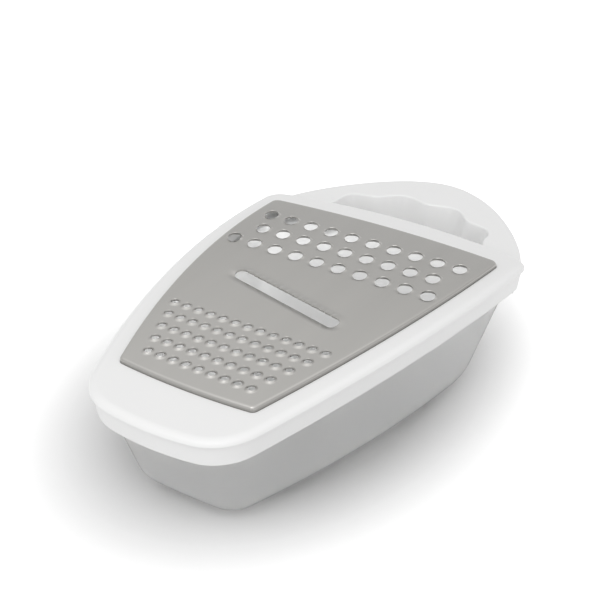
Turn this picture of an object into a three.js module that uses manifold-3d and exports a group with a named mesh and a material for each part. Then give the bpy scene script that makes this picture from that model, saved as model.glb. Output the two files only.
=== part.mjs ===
// Hand grater on a catch tray.
// A stamped steel plate caps a white moulded frame with a finger-grip handle,
// and the frame drops over the rim of a frosted, drafted tray.
// Millimetres, +Z up, +Y towards the handle, origin on the table under the middle of the length.

import * as THREE from 'three';
import { mergeVertices } from 'three/addons/utils/BufferGeometryUtils.js';
import Module from 'manifold-3d';

const wasm = await Module();
wasm.setup();

// Overall sizes
const OVERALL_LENGTH = 221;
const LID_WIDTH = 122.4;
const CROWN_HEIGHT = 55;
const ARCH_RADIUS = 817;
const ARCH_FORWARD = 6;
const CLEARANCE = 0.3;

// Lid outline in plan
const LID_FRONT_WIDTH = 57.2;
const LID_WIDEST_FROM_BACK = 7.8;
const LID_FRONT_RADIUS = 110;
const LID_FRONT_CORNER = 22;
const LID_BACK_RADIUS = 215;
const LID_BACK_CORNER = 9;

// Frame section, from the deck down to the lower edge of the skirt
const DECK_THICKNESS = 2.6;
const SHOULDER_WIDTH = 3.2;
const SHOULDER_DROP = 2;
const LIP_LAND = 0.2;
const BAND_HEIGHT = 8.6;
const BAND_SETBACK = 1;
const BAND_DRAFT = 1.1;
const SKIRT_WALL = 1.5;
const EDGE_ROUND = 0.4;

// Steel plate
const PLATE_THICKNESS = 0.6;
const PLATE_STANDS_PROUD = 1.8;
const PLATE_BEND = 1;
const PLATE_FRONT_RADIUS = 280;
const PLATE_FRONT_CORNER = 2.4;
const PLATE_BACK_RADIUS = 370;
const PLATE_BACK_CORNER = 3.4;
const SIDE_BORDER = 8.3;
const FRONT_BORDER = 21;
const BACK_BORDER = 16.6;
const SEAT_DEPTH = 1.2;
const LAND_WIDTH = 4;

// Coarse teeth, next to the handle
const COARSE_PITCH = 9.7;
const COARSE_ROW_PITCH = 13.44;
const COARSE_FROM_BACK = 19.9;
const COARSE_MARGIN = 5.5;
const COARSE_HOLE = 5.8;
const COARSE_SKIRT = 1.2;
const COARSE_RISE = 1.3;
const COARSE_LEAN = 0.4;
const COARSE_SIDES = 10;

// Fine teeth, next to the narrow end
const FINE_PITCH = 5.41;
const FINE_ROW_PITCH = 7.37;
const FINE_FROM_FRONT = 9.7;
const FINE_MARGIN = 6.5;
const FINE_HOLE = 3.3;
const FINE_SKIRT = 0.6;
const FINE_RISE = 1.2;
const FINE_LEAN = 0.3;
const FINE_SIDES = 8;
const TOOTH_FRONT_SHARE = 0.3;

// Skewed slicing slot between the two fields of teeth
const SLOT_LENGTH = 54;
const SLOT_WIDTH = 5.4;
const SLOT_SKEW = THREE.MathUtils.degToRad(-13.7);
const SLOT_FROM_FRONT = 63.5;
const SLOT_TO_TEETH = 4.5;
const SLOT_TEETH = 14;
const SLOT_TOOTH_DEPTH = 0.8;
const SLOT_BLADE_RISE = 1.2;
const SLOT_GULLET_RISE = 0.8;
const SLOT_RAMP_DROP = 0.8;
const SLOT_RAMP = 3.4;

// Finger-grip handle
const HANDLE_REACH = 43.5;
const HANDLE_HEIGHT = 12.5;
const HANDLE_DROP = 1.8;
const HANDLE_ROOT_INSET = 3.2;
const HANDLE_FLANK = 14;
const HANDLE_NOSE = 26;
const HANDLE_TAPER = 2;
const HANDLE_LIP = 2.8;
const HANDLE_OVERHANG = 2;
const HANDLE_WALL = 2.2;
const HANDLE_ROUND = 0.8;
const GRIP_SIDE = 20.5;
const GRIP_DEPTH = 27.3;
const GRIP_FROM_TIP = 23.1;
const FINGERS = 4;
const FINGER_ANGLE = THREE.MathUtils.degToRad(36);
const FINGER_HOLLOW = 3.6;

// Tray
const TRAY_WALL = 2;
const TRAY_FLOOR = 2.2;
const TRAY_RIM_WIDTH = 0.6;
const TRAY_RIM_HEIGHT = 2.2;
const TRAY_FOOT_BACK_SIDE_INSET = 9.7;
const TRAY_FOOT_FRONT_SIDE_INSET = 8.6;
const TRAY_FOOT_FRONT_INSET = 20.4;
const TRAY_FOOT_BACK_INSET = 29;
const TRAY_FOOT_WIDEST_SHIFT = 12;
const TRAY_FOOT_FRONT_RADIUS = 300;
const TRAY_FOOT_BACK_RADIUS = 200;
const TRAY_FOOT_FRONT_CORNER = 12;
const TRAY_FOOT_BACK_CORNER = 17;
const TRAY_FOOT_ROUND = 13;

// Segments along each stretch of an outline
const FRONT_STEPS = 4;
const FRONT_CORNER_STEPS = 6;
const SIDE_STEPS = 9;
const BACK_CORNER_STEPS = 4;
const BACK_STEPS = 4;
const MIN_CORNER = 0.8;
const SHOULDER_STEPS = 4;
const HANDLE_STEPS = 11;
const GRIP_STEPS = 30;
const SLOT_END_STEPS = 6;
const FOOT_ROUND_STEPS = 4;
const EDGE_ROUND_STEPS = 2;
const BENDS_AT_SLOT = 3;
const WELD = 1e-4;

// Levels and places that follow from the sizes
const FRONT_Y = -OVERALL_LENGTH / 2;
const TIP_Y = OVERALL_LENGTH / 2;
const LID_BACK_Y = TIP_Y - HANDLE_REACH;
const PLATE_BACK_Y = LID_BACK_Y - BACK_BORDER;
const PLATE_FRONT_Y = FRONT_Y + FRONT_BORDER;
const ARCH_CROWN_Y = (PLATE_BACK_Y + PLATE_FRONT_Y) / 2 - ARCH_FORWARD;
const DECK_Z = CROWN_HEIGHT - PLATE_STANDS_PROUD;
const LIP_HEIGHT = SHOULDER_DROP + LIP_LAND + EDGE_ROUND;
const RIM_TOP_Z = DECK_Z - DECK_THICKNESS - CLEARANCE;
const SKIRT_INNER_INSET = BAND_SETBACK + BAND_DRAFT + SKIRT_WALL;
const RIM_INSET = SKIRT_INNER_INSET + CLEARANCE;
const SLOT_Y = PLATE_FRONT_Y + SLOT_FROM_FRONT;
const SLOT_STRAIGHT = (SLOT_LENGTH - SLOT_WIDTH) / 2;
const SLOT_REACH = SLOT_STRAIGHT * Math.abs(Math.sin(SLOT_SKEW)) + SLOT_WIDTH / 2 + SLOT_RAMP;

function archDrop(y) {
  return (y - ARCH_CROWN_Y) ** 2 / (2 * ARCH_RADIUS);
}

const HANDLE_TOP_Z = DECK_Z - archDrop(LID_BACK_Y) - HANDLE_DROP;
const HANDLE_HALF_WIDTH = LID_WIDTH / 2 - HANDLE_ROOT_INSET;
const GRIP_HALF_WIDTH = HANDLE_HALF_WIDTH - GRIP_SIDE;

const LID_WIDEST_Y = LID_BACK_Y - LID_WIDEST_FROM_BACK;

// Radius of a side that is square to the width at its widest and draws in by some distance at the front
function bowRadius(length, drawnIn) {
  return (length ** 2 + drawnIn ** 2) / (2 * drawnIn);
}

const LID_PLAN = {
  halfWidth: LID_WIDTH / 2,
  sideRadius: bowRadius(LID_WIDEST_Y - FRONT_Y, (LID_WIDTH - LID_FRONT_WIDTH) / 2),
  widestY: LID_WIDEST_Y,
  frontY: FRONT_Y,
  frontRadius: LID_FRONT_RADIUS,
  frontCorner: LID_FRONT_CORNER,
  backY: LID_BACK_Y,
  backRadius: LID_BACK_RADIUS,
  backCorner: LID_BACK_CORNER,
};

const PLATE_PLAN = {
  halfWidth: LID_PLAN.halfWidth - SIDE_BORDER,
  sideRadius: LID_PLAN.sideRadius - SIDE_BORDER,
  widestY: LID_PLAN.widestY,
  frontY: PLATE_FRONT_Y,
  frontRadius: PLATE_FRONT_RADIUS,
  frontCorner: PLATE_FRONT_CORNER,
  backY: PLATE_BACK_Y,
  backRadius: PLATE_BACK_RADIUS,
  backCorner: PLATE_BACK_CORNER,
};

const TRAY_TOP_PLAN = shrink(LID_PLAN, RIM_INSET + TRAY_RIM_WIDTH);

const TRAY_FOOT_WIDEST_Y = LID_WIDEST_Y + TRAY_FOOT_WIDEST_SHIFT;
const TRAY_FOOT_FRONT_Y = FRONT_Y + TRAY_FOOT_FRONT_INSET;
const TRAY_FOOT_WIDTH = LID_WIDTH - 2 * TRAY_FOOT_BACK_SIDE_INSET;
const TRAY_FOOT_FRONT_WIDTH = LID_FRONT_WIDTH - 2 * TRAY_FOOT_FRONT_SIDE_INSET;

const TRAY_FOOT_PLAN = {
  halfWidth: TRAY_FOOT_WIDTH / 2,
  sideRadius: bowRadius(
    TRAY_FOOT_WIDEST_Y - TRAY_FOOT_FRONT_Y, (TRAY_FOOT_WIDTH - TRAY_FOOT_FRONT_WIDTH) / 2,
  ),
  widestY: TRAY_FOOT_WIDEST_Y,
  frontY: TRAY_FOOT_FRONT_Y,
  frontRadius: TRAY_FOOT_FRONT_RADIUS,
  frontCorner: TRAY_FOOT_FRONT_CORNER,
  backY: LID_PLAN.backY - TRAY_FOOT_BACK_INSET,
  backRadius: TRAY_FOOT_BACK_RADIUS,
  backCorner: TRAY_FOOT_BACK_CORNER,
};

// A plan moved inwards all round by one distance
function shrink(plan, inset) {
  return {
    halfWidth: plan.halfWidth - inset,
    sideRadius: plan.sideRadius - inset,
    widestY: plan.widestY,
    frontY: plan.frontY + inset,
    frontRadius: plan.frontRadius - inset,
    frontCorner: Math.max(plan.frontCorner - inset, MIN_CORNER),
    backY: plan.backY - inset,
    backRadius: plan.backRadius - inset,
    backCorner: Math.max(plan.backCorner - inset, MIN_CORNER),
  };
}

// A plan part of the way from one plan to another
function between(low, high, share) {
  const plan = {};
  for (const key of Object.keys(low)) {
    plan[key] = THREE.MathUtils.lerp(low[key], high[key], share);
  }
  return plan;
}

// Half width of a plan's bowed side at a place along the length
function halfWidthAt(plan, y) {
  return plan.halfWidth - plan.sideRadius + Math.sqrt(plan.sideRadius ** 2 - (y - plan.widestY) ** 2);
}

// Place at given distances from two centres, on the left or the right of the line between them
function meetingPoint(first, firstReach, second, secondReach, turn) {
  const apart = first.distanceTo(second);
  const along = (firstReach ** 2 - secondReach ** 2 + apart ** 2) / (2 * apart);
  const across = turn * Math.sqrt(firstReach ** 2 - along ** 2);
  const ahead = second.clone().sub(first).normalize();
  const sideways = new THREE.Vector2(-ahead.y, ahead.x);
  return first.clone().addScaledVector(ahead, along).addScaledVector(sideways, across);
}

// Direction from one place to another, between minus and plus half a turn
function heading(from, to) {
  return Math.atan2(to.y - from.y, to.x - from.x);
}

function addArc(points, centre, radius, from, to, steps) {
  for (let i = 0; i < steps; i += 1) {
    const angle = THREE.MathUtils.lerp(from, to, i / steps);
    points.push(new THREE.Vector2(centre.x + radius * Math.cos(angle), centre.y + radius * Math.sin(angle)));
  }
}

// Closed outline of a tapered plan, anticlockwise from the middle of the front:
// bowed front, rounded corner, bowed side, rounded corner, bowed back, and the same mirrored
function outline(basePlan, inset) {
  const plan = shrink(basePlan, inset);
  const side = new THREE.Vector2(plan.halfWidth - plan.sideRadius, plan.widestY);
  const front = new THREE.Vector2(0, plan.frontY + plan.frontRadius);
  const back = new THREE.Vector2(0, plan.backY - plan.backRadius);
  const nose = meetingPoint(
    side, plan.sideRadius - plan.frontCorner, front, plan.frontRadius - plan.frontCorner, -1,
  );
  const heel = meetingPoint(
    side, plan.sideRadius - plan.backCorner, back, plan.backRadius - plan.backCorner, 1,
  );
  const right = [];
  addArc(right, front, plan.frontRadius, -Math.PI / 2, heading(front, nose), FRONT_STEPS);
  addArc(right, nose, plan.frontCorner, heading(front, nose), heading(side, nose), FRONT_CORNER_STEPS);
  addArc(right, side, plan.sideRadius, heading(side, nose), heading(side, heel), SIDE_STEPS);
  addArc(right, heel, plan.backCorner, heading(side, heel), heading(back, heel), BACK_CORNER_STEPS);
  addArc(right, back, plan.backRadius, heading(back, heel), Math.PI / 2, BACK_STEPS);
  right.push(new THREE.Vector2(0, plan.backY));
  const left = right.slice(1, -1).reverse().map((p) => new THREE.Vector2(-p.x, p.y));
  return [...right, ...left];
}

// A level loop that follows the lengthwise arch of the lid
function archedLoop(points, z, share = 1) {
  return points.map((p) => new THREE.Vector3(p.x, p.y, z - share * archDrop(p.y)));
}

// Triangles collected as corner points, then welded into one indexed geometry
class Skin {
  constructor() {
    this.corners = [];
  }

  triangle(a, b, c) {
    this.corners.push(a, b, c);
  }

  // Strip of quads between two loops with the same number of points
  strip(low, high) {
    for (let i = 0; i < low.length; i += 1) {
      const next = (i + 1) % low.length;
      this.triangle(low[i], low[next], high[next]);
      this.triangle(low[i], high[next], high[i]);
    }
  }

  // Flat sheet inside a loop, with holes, facing up or down
  sheet(rim, holes, facesUp) {
    const all = [rim, ...holes].flat();
    const flat = (loop) => loop.map((p) => new THREE.Vector2(p.x, p.y));
    for (const [a, b, c] of THREE.ShapeUtils.triangulateShape(flat(rim), holes.map(flat))) {
      if (facesUp) {
        this.triangle(all[a], all[b], all[c]);
      } else {
        this.triangle(all[a], all[c], all[b]);
      }
    }
  }

  // Cut every triangle along a line across the width, so that the skin can bend there
  crease(y) {
    const cut = new Skin();
    for (let i = 0; i < this.corners.length; i += 3) {
      const corners = this.corners.slice(i, i + 3);
      for (const part of [clip(corners, y, 1), clip(corners, y, -1)]) {
        for (let k = 2; k < part.length; k += 1) {
          cut.triangle(part[0], part[k - 1], part[k]);
        }
      }
    }
    this.corners = cut.corners;
  }

  arch() {
    this.corners = this.corners.map((p) => new THREE.Vector3(p.x, p.y, p.z - archDrop(p.y)));
  }

  geometry() {
    const raw = new THREE.BufferGeometry().setFromPoints(this.corners);
    return mergeVertices(raw, WELD);
  }
}

// The part of a triangle on one side of a line across the width
function clip(corners, y, direction) {
  const part = [];
  corners.forEach((a, i) => {
    const b = corners[(i + 1) % corners.length];
    if ((a.y - y) * direction >= 0) {
      part.push(a);
    }
    if ((a.y - y) * (b.y - y) < 0) {
      const [low, high] = a.y < b.y ? [a, b] : [b, a];
      part.push(low.clone().lerp(high, (y - low.y) / (high.y - low.y)));
    }
  });
  return part;
}

function toSolid(geometry) {
  const bare = geometry.clone();
  bare.deleteAttribute('normal');
  bare.deleteAttribute('uv');
  const welded = mergeVertices(bare, WELD);
  return new wasm.Manifold(new wasm.Mesh({
    numProp: 3,
    vertProperties: new Float32Array(welded.getAttribute('position').array),
    triVerts: new Uint32Array(welded.getIndex().array),
  }));
}

function toGeometry(solid) {
  const mesh = solid.getMesh();
  const geometry = new THREE.BufferGeometry();
  geometry.setAttribute('position', new THREE.BufferAttribute(new Float32Array(mesh.vertProperties), 3));
  geometry.setIndex(new THREE.BufferAttribute(new Uint32Array(mesh.triVerts), 1));
  return geometry;
}

function extruded(points, bottom, height, round = 0) {
  const geometry = new THREE.ExtrudeGeometry(new THREE.Shape(points), {
    depth: height - 2 * round,
    bevelEnabled: round > 0,
    bevelThickness: round,
    bevelSize: round,
    bevelOffset: -round,
    bevelSegments: EDGE_ROUND_STEPS,
  });
  geometry.translate(0, 0, bottom + round);
  return geometry;
}

// Frame border: one section swept round the lid, from the deck over the shoulder and lip,
// down the set-back skirt, up inside it, under the deck and over the land that carries the plate
function frameBorder() {
  const lid = (inset, below) => archedLoop(outline(LID_PLAN, inset), DECK_Z - below);
  const plate = (inset, above) => archedLoop(outline(PLATE_PLAN, inset), DECK_Z + above);
  const landTop = PLATE_STANDS_PROUD - PLATE_THICKNESS - CLEARANCE;
  const landEdge = PLATE_THICKNESS + CLEARANCE;
  const loops = [];
  for (let i = 0; i <= SHOULDER_STEPS; i += 1) {
    const turn = (i / SHOULDER_STEPS) * (Math.PI / 2);
    loops.push(lid(SHOULDER_WIDTH * (1 - Math.sin(turn)), SHOULDER_DROP * (1 - Math.cos(turn))));
  }
  const skirtDepth = LIP_HEIGHT + BAND_HEIGHT;
  const bandFoot = BAND_SETBACK + BAND_DRAFT;
  loops.push(
    lid(0, LIP_HEIGHT - EDGE_ROUND),
    lid(EDGE_ROUND, LIP_HEIGHT),
    lid(BAND_SETBACK, LIP_HEIGHT),
    lid(bandFoot, skirtDepth - EDGE_ROUND),
    lid(bandFoot + EDGE_ROUND, skirtDepth),
    lid(SKIRT_INNER_INSET, skirtDepth),
    lid(SKIRT_INNER_INSET - BAND_DRAFT, DECK_THICKNESS),
    plate(LAND_WIDTH, -DECK_THICKNESS),
    plate(LAND_WIDTH, landTop - EDGE_ROUND),
    plate(LAND_WIDTH - EDGE_ROUND, landTop),
    plate(landEdge + EDGE_ROUND, landTop),
    plate(landEdge, landTop - EDGE_ROUND),
    plate(landEdge, -SEAT_DEPTH),
    plate(-CLEARANCE, -SEAT_DEPTH),
    plate(-CLEARANCE, 0),
  );
  const skin = new Skin();
  loops.forEach((loop, i) => skin.strip(loops[(i + 1) % loops.length], loop));
  return skin.geometry();
}

// Where the lid's bowed back edge, moved inwards, lies at a place across the width
function backEdgeY(x, inset) {
  return LID_BACK_Y - LID_BACK_RADIUS + Math.sqrt((LID_BACK_RADIUS - inset) ** 2 - x ** 2);
}

// Outer edge of the handle from the right root round the tip to the left root
function handleEdge(inset) {
  const root = HANDLE_HALF_WIDTH - inset;
  const rootY = backEdgeY(root, SKIRT_INNER_INSET);
  const half = new THREE.CubicBezierCurve(
    new THREE.Vector2(root, rootY),
    new THREE.Vector2(root - HANDLE_TAPER, rootY + HANDLE_FLANK),
    new THREE.Vector2(HANDLE_NOSE - inset / 2, TIP_Y - inset),
    new THREE.Vector2(0, TIP_Y - inset),
  ).getPoints(HANDLE_STEPS);
  const mirrored = half.slice(0, -1).reverse().map((p) => new THREE.Vector2(-p.x, p.y));
  return [...half, ...mirrored];
}

// Inner edge of the grip, left to right, with a hollow for each finger
function gripEdge(outset) {
  const centreY = TIP_Y - GRIP_FROM_TIP - GRIP_DEPTH;
  const hollowEnd = (FINGERS / 2) * FINGER_ANGLE;
  const points = [];
  for (let i = 0; i <= GRIP_STEPS; i += 1) {
    const angle = THREE.MathUtils.lerp(-Math.PI / 2, Math.PI / 2, i / GRIP_STEPS);
    const inHollow = Math.abs(angle) < hollowEnd;
    const wave = inHollow ? FINGER_HOLLOW * Math.sin((Math.PI * angle) / FINGER_ANGLE) ** 2 : 0;
    const x = (GRIP_HALF_WIDTH + wave + outset) * Math.sin(angle);
    const y = centreY + (GRIP_DEPTH + wave + outset) * Math.cos(angle);
    points.push(new THREE.Vector2(x, y));
  }
  return points;
}

// Plan of the handle between its outer edge and the grip, cut off along the lid's back edge
function handlePlan(inset, outset, rootInset) {
  const clear = (p) => p.y > backEdgeY(p.x, rootInset);
  const foot = (p) => new THREE.Vector2(p.x, backEdgeY(p.x, rootInset));
  const edge = handleEdge(inset).filter(clear);
  const grip = gripEdge(outset).filter(clear);
  return [foot(edge[0]), ...edge, foot(edge.at(-1)), foot(grip[0]), ...grip, foot(grip.at(-1))];
}

// Handle: a lipped ring, hollow below, rooted in the back of the skirt
function handle() {
  const rootInset = SKIRT_INNER_INSET - SKIRT_WALL / 2;
  const bottom = HANDLE_TOP_Z - HANDLE_HEIGHT;
  const lipPlan = handlePlan(0, 0, rootInset);
  const lip = toSolid(extruded(lipPlan, HANDLE_TOP_Z - HANDLE_LIP, HANDLE_LIP, HANDLE_ROUND));
  const wallPlan = handlePlan(HANDLE_OVERHANG, 0, rootInset);
  const wall = toSolid(extruded(wallPlan, bottom, HANDLE_HEIGHT - HANDLE_LIP / 2));
  const pocketPlan = handlePlan(HANDLE_OVERHANG + HANDLE_WALL, HANDLE_WALL, -HANDLE_WALL);
  const pocketHeight = HANDLE_HEIGHT - HANDLE_LIP;
  const pocket = toSolid(extruded(pocketPlan, bottom - CLEARANCE, pocketHeight + CLEARANCE));
  const skirtPlan = outline(LID_PLAN, rootInset);
  const insideSkirt = toSolid(extruded(skirtPlan, bottom - CLEARANCE, HANDLE_HEIGHT + 2 * CLEARANCE));
  return lip.add(wall).subtract(pocket).subtract(insideSkirt);
}

function topFrame() {
  return toGeometry(toSolid(frameBorder()).add(handle()));
}

// A row of places along X, as many as fit, odd or even in number
function rowPlaces(y, pitch, margin, odd) {
  const room = halfWidthAt(PLATE_PLAN, y) - margin;
  let count = Math.floor((2 * room) / pitch + 1);
  if (count % 2 !== (odd ? 1 : 0)) {
    count -= 1;
  }
  const places = [];
  for (let i = 0; i < count; i += 1) {
    places.push(new THREE.Vector2((i - (count - 1) / 2) * pitch, y));
  }
  return places;
}

// A punched tooth: a collar drawn up round a hole, low in front and highest at the back, where it leans
// forward into a cutting lip. Both loops run clockwise, as holes of the sheet
function tooth(place, size, skirt, rise, lean, sides) {
  const foot = [];
  const mouth = [];
  for (let i = 0; i < sides; i += 1) {
    const angle = -((i + 0.5) / sides) * 2 * Math.PI;
    const across = Math.cos(angle);
    const along = Math.sin(angle);
    const back = Math.max(0, along);
    const reach = size / 2 + skirt;
    foot.push({ x: place.x + reach * across, y: place.y + reach * along, rise: 0 });
    mouth.push({
      x: place.x + (size / 2) * across,
      y: place.y + (size / 2) * along - back * lean,
      rise: rise * THREE.MathUtils.lerp(TOOTH_FRONT_SHARE, 1, (1 + along) / 2),
    });
  }
  return { foot, mouth };
}

// The slicing slot: a raised, serrated blade along the back edge and a ramp pressed down along the front
function slot(centre) {
  const foot = [];
  const mouth = [];
  const halfWidth = SLOT_WIDTH / 2;
  const place = (u, v, rise) => ({
    x: centre.x + u * Math.cos(SLOT_SKEW) - v * Math.sin(SLOT_SKEW),
    y: centre.y + u * Math.sin(SLOT_SKEW) + v * Math.cos(SLOT_SKEW),
    rise,
  });
  const bladeSteps = 2 * SLOT_TEETH;
  for (let i = 0; i < bladeSteps; i += 1) {
    const u = THREE.MathUtils.lerp(-SLOT_STRAIGHT, SLOT_STRAIGHT, i / bladeSteps);
    const notch = i % 2 === 0 ? 0 : 1;
    foot.push(place(u, halfWidth + SLOT_RAMP, 0));
    const rise = THREE.MathUtils.lerp(SLOT_GULLET_RISE, SLOT_BLADE_RISE, notch);
    mouth.push(place(u, halfWidth - SLOT_TOOTH_DEPTH * notch, rise));
  }
  for (const end of [1, -1]) {
    for (let i = 0; i < SLOT_END_STEPS; i += 1) {
      const turn = (i / SLOT_END_STEPS) * Math.PI;
      const u = Math.sin(turn) * end;
      const v = Math.cos(turn) * end;
      const lift = v > 0 ? SLOT_GULLET_RISE * v : SLOT_RAMP_DROP * v;
      foot.push(place(SLOT_STRAIGHT * end + u * (halfWidth + SLOT_RAMP), v * (halfWidth + SLOT_RAMP), 0));
      mouth.push(place(SLOT_STRAIGHT * end + u * halfWidth, v * halfWidth, lift));
    }
    if (end === 1) {
      for (let i = 0; i < SLOT_TEETH; i += 1) {
        const u = THREE.MathUtils.lerp(SLOT_STRAIGHT, -SLOT_STRAIGHT, i / SLOT_TEETH);
        foot.push(place(u, -halfWidth - SLOT_RAMP, 0));
        mouth.push(place(u, -halfWidth, -SLOT_RAMP_DROP));
      }
    }
  }
  return { foot, mouth };
}

// Rows from an end of the plate towards the slot, as many as stay clear of it
function rowLevels(firstY, step, toothReach) {
  const room = Math.abs(SLOT_Y - firstY) - SLOT_REACH - SLOT_TO_TEETH - toothReach;
  const levels = [];
  for (let y = 0; y <= room; y += Math.abs(step)) {
    levels.push(firstY + Math.sign(step) * y);
  }
  return levels;
}

// Steel plate: one sheet with a flange turned down all round into the frame's seat
function gratingPlate() {
  const punches = [slot(new THREE.Vector2(0, SLOT_Y))];
  const coarseReach = COARSE_HOLE / 2 + COARSE_SKIRT;
  const coarseLevels = rowLevels(PLATE_BACK_Y - COARSE_FROM_BACK, -COARSE_ROW_PITCH, coarseReach);
  coarseLevels.forEach((y, row) => {
    for (const place of rowPlaces(y, COARSE_PITCH, COARSE_MARGIN, row % 2 === 1)) {
      punches.push(tooth(place, COARSE_HOLE, COARSE_SKIRT, COARSE_RISE, COARSE_LEAN, COARSE_SIDES));
    }
  });
  const fineReach = FINE_HOLE / 2 + FINE_SKIRT;
  const fineLevels = rowLevels(PLATE_FRONT_Y + FINE_FROM_FRONT, FINE_ROW_PITCH, fineReach);
  fineLevels.forEach((y, row) => {
    for (const place of rowPlaces(y, FINE_PITCH, FINE_MARGIN, row % 2 === 0)) {
      punches.push(tooth(place, FINE_HOLE, FINE_SKIRT, FINE_RISE, FINE_LEAN, FINE_SIDES));
    }
  });

  const raised = (loop, z) => loop.map((p) => new THREE.Vector3(p.x, p.y, z + p.rise));
  const topZ = CROWN_HEIGHT;
  const underZ = CROWN_HEIGHT - PLATE_THICKNESS;
  const skin = new Skin();
  for (const { foot, mouth } of punches) {
    skin.strip(raised(mouth, topZ), raised(foot, topZ));
    skin.strip(raised(foot, underZ), raised(mouth, underZ));
    skin.strip(raised(mouth, underZ), raised(mouth, topZ));
  }

  const edge = (inset, z) => outline(PLATE_PLAN, inset).map((p) => new THREE.Vector3(p.x, p.y, z));
  const flangeZ = DECK_Z - SEAT_DEPTH + CLEARANCE;
  const bend = PLATE_BEND * (1 - Math.SQRT1_2);
  skin.sheet(edge(PLATE_BEND, topZ), punches.map((p) => raised(p.foot, topZ)), true);
  skin.sheet(edge(PLATE_BEND, underZ), punches.map((p) => raised(p.foot, underZ)), false);
  const flange = [
    edge(PLATE_BEND, topZ),
    edge(bend, topZ - bend),
    edge(0, topZ - PLATE_BEND),
    edge(0, flangeZ),
    edge(PLATE_THICKNESS, flangeZ),
    edge(PLATE_THICKNESS, topZ - PLATE_BEND),
    edge(PLATE_BEND, underZ),
  ];
  for (let i = 0; i + 1 < flange.length; i += 1) {
    skin.strip(flange[i + 1], flange[i]);
  }
  for (const y of coarseLevels) {
    skin.crease(y + COARSE_ROW_PITCH / 2);
  }
  for (let row = 0; row < fineLevels.length; row += 2) {
    skin.crease(fineLevels[row] - FINE_ROW_PITCH / 2);
  }
  const lastCoarseY = coarseLevels.at(-1) - COARSE_ROW_PITCH / 2;
  const lastFineY = fineLevels.at(-1) + FINE_ROW_PITCH / 2;
  for (let i = 0; i <= BENDS_AT_SLOT; i += 1) {
    skin.crease(THREE.MathUtils.lerp(lastCoarseY, lastFineY, i / BENDS_AT_SLOT));
  }
  skin.arch();
  return skin.geometry();
}

// Tray: a drafted cup with a rounded foot and a rim that fits inside the skirt
function tray() {
  const wallTop = RIM_TOP_Z - TRAY_RIM_HEIGHT;
  const loop = (inset, z) => {
    const plan = between(TRAY_FOOT_PLAN, TRAY_TOP_PLAN, Math.min(z / wallTop, 1));
    return archedLoop(outline(plan, inset), z, z / RIM_TOP_Z);
  };
  const loops = [];
  const round = (inset, floor, radius, outward) => {
    for (let i = 0; i <= FOOT_ROUND_STEPS; i += 1) {
      const step = outward ? i : FOOT_ROUND_STEPS - i;
      const turn = (step / FOOT_ROUND_STEPS) * (Math.PI / 2);
      loops.push(loop(inset + radius * (1 - Math.sin(turn)), floor + radius * (1 - Math.cos(turn))));
    }
  };
  round(0, 0, TRAY_FOOT_ROUND, true);
  loops.push(
    loop(0, wallTop),
    loop(-TRAY_RIM_WIDTH, wallTop),
    loop(-TRAY_RIM_WIDTH, RIM_TOP_Z - EDGE_ROUND),
    loop(-TRAY_RIM_WIDTH + EDGE_ROUND, RIM_TOP_Z),
    loop(TRAY_WALL, RIM_TOP_Z),
  );
  round(TRAY_WALL, TRAY_FLOOR, TRAY_FOOT_ROUND - TRAY_WALL, false);
  const skin = new Skin();
  for (let i = 0; i + 1 < loops.length; i += 1) {
    skin.strip(loops[i], loops[i + 1]);
  }
  skin.sheet(loops[0], [], false);
  skin.sheet(loops[loops.length - 1], [], true);
  return skin.geometry();
}

function piece(name, geometry, color, roughness, metalness) {
  geometry.computeVertexNormals();
  const mesh = new THREE.Mesh(geometry, new THREE.MeshStandardMaterial({ color, roughness, metalness }));
  mesh.name = name;
  return mesh;
}

const grater = new THREE.Group();
grater.add(
  piece('grating_plate', gratingPlate(), 0xa8a6a2, 0.35, 1),
  piece('top_frame', topFrame(), 0xeaeaea, 0.45, 0),
  piece('catch_tray', tray(), 0xc8c8c8, 0.55, 0),
);

export default grater;
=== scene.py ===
"""Hand grater on a catch tray: the pieces that show, their finishes, and the stage they stand on.

Lengths are in metres, +Z is up and +Y runs towards the handle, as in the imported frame.
"""
import math
from collections import namedtuple

import bmesh
import bpy
from bpy.props import FloatProperty, FloatVectorProperty, IntProperty, PointerProperty
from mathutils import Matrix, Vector


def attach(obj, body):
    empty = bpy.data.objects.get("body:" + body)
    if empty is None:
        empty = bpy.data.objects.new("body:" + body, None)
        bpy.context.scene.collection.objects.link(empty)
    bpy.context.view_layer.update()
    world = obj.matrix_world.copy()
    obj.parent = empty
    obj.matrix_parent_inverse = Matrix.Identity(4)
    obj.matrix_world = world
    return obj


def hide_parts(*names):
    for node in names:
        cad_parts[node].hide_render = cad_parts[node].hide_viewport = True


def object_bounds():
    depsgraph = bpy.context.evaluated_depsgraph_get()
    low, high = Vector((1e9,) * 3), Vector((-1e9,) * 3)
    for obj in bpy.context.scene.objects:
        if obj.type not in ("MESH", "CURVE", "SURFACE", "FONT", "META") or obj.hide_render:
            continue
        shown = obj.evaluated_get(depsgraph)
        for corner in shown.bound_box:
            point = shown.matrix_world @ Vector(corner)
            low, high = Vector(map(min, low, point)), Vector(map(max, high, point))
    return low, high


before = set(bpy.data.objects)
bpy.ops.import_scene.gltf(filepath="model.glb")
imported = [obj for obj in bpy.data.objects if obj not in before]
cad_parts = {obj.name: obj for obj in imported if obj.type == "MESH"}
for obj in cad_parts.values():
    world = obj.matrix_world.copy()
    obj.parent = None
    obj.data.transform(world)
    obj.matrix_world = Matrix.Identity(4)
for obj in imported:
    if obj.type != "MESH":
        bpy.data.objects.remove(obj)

bl_info = {
    "name": "Hand grater on a catch tray",
    "version": (1, 0, 0),
    "blender": (4, 5, 0),
    "location": "View3D > Sidebar > Grater",
    "description": "Models and finishes a tray grater and the stage it stands on",
    "category": "Object",
}

CAD_LOW, CAD_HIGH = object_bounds()

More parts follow.
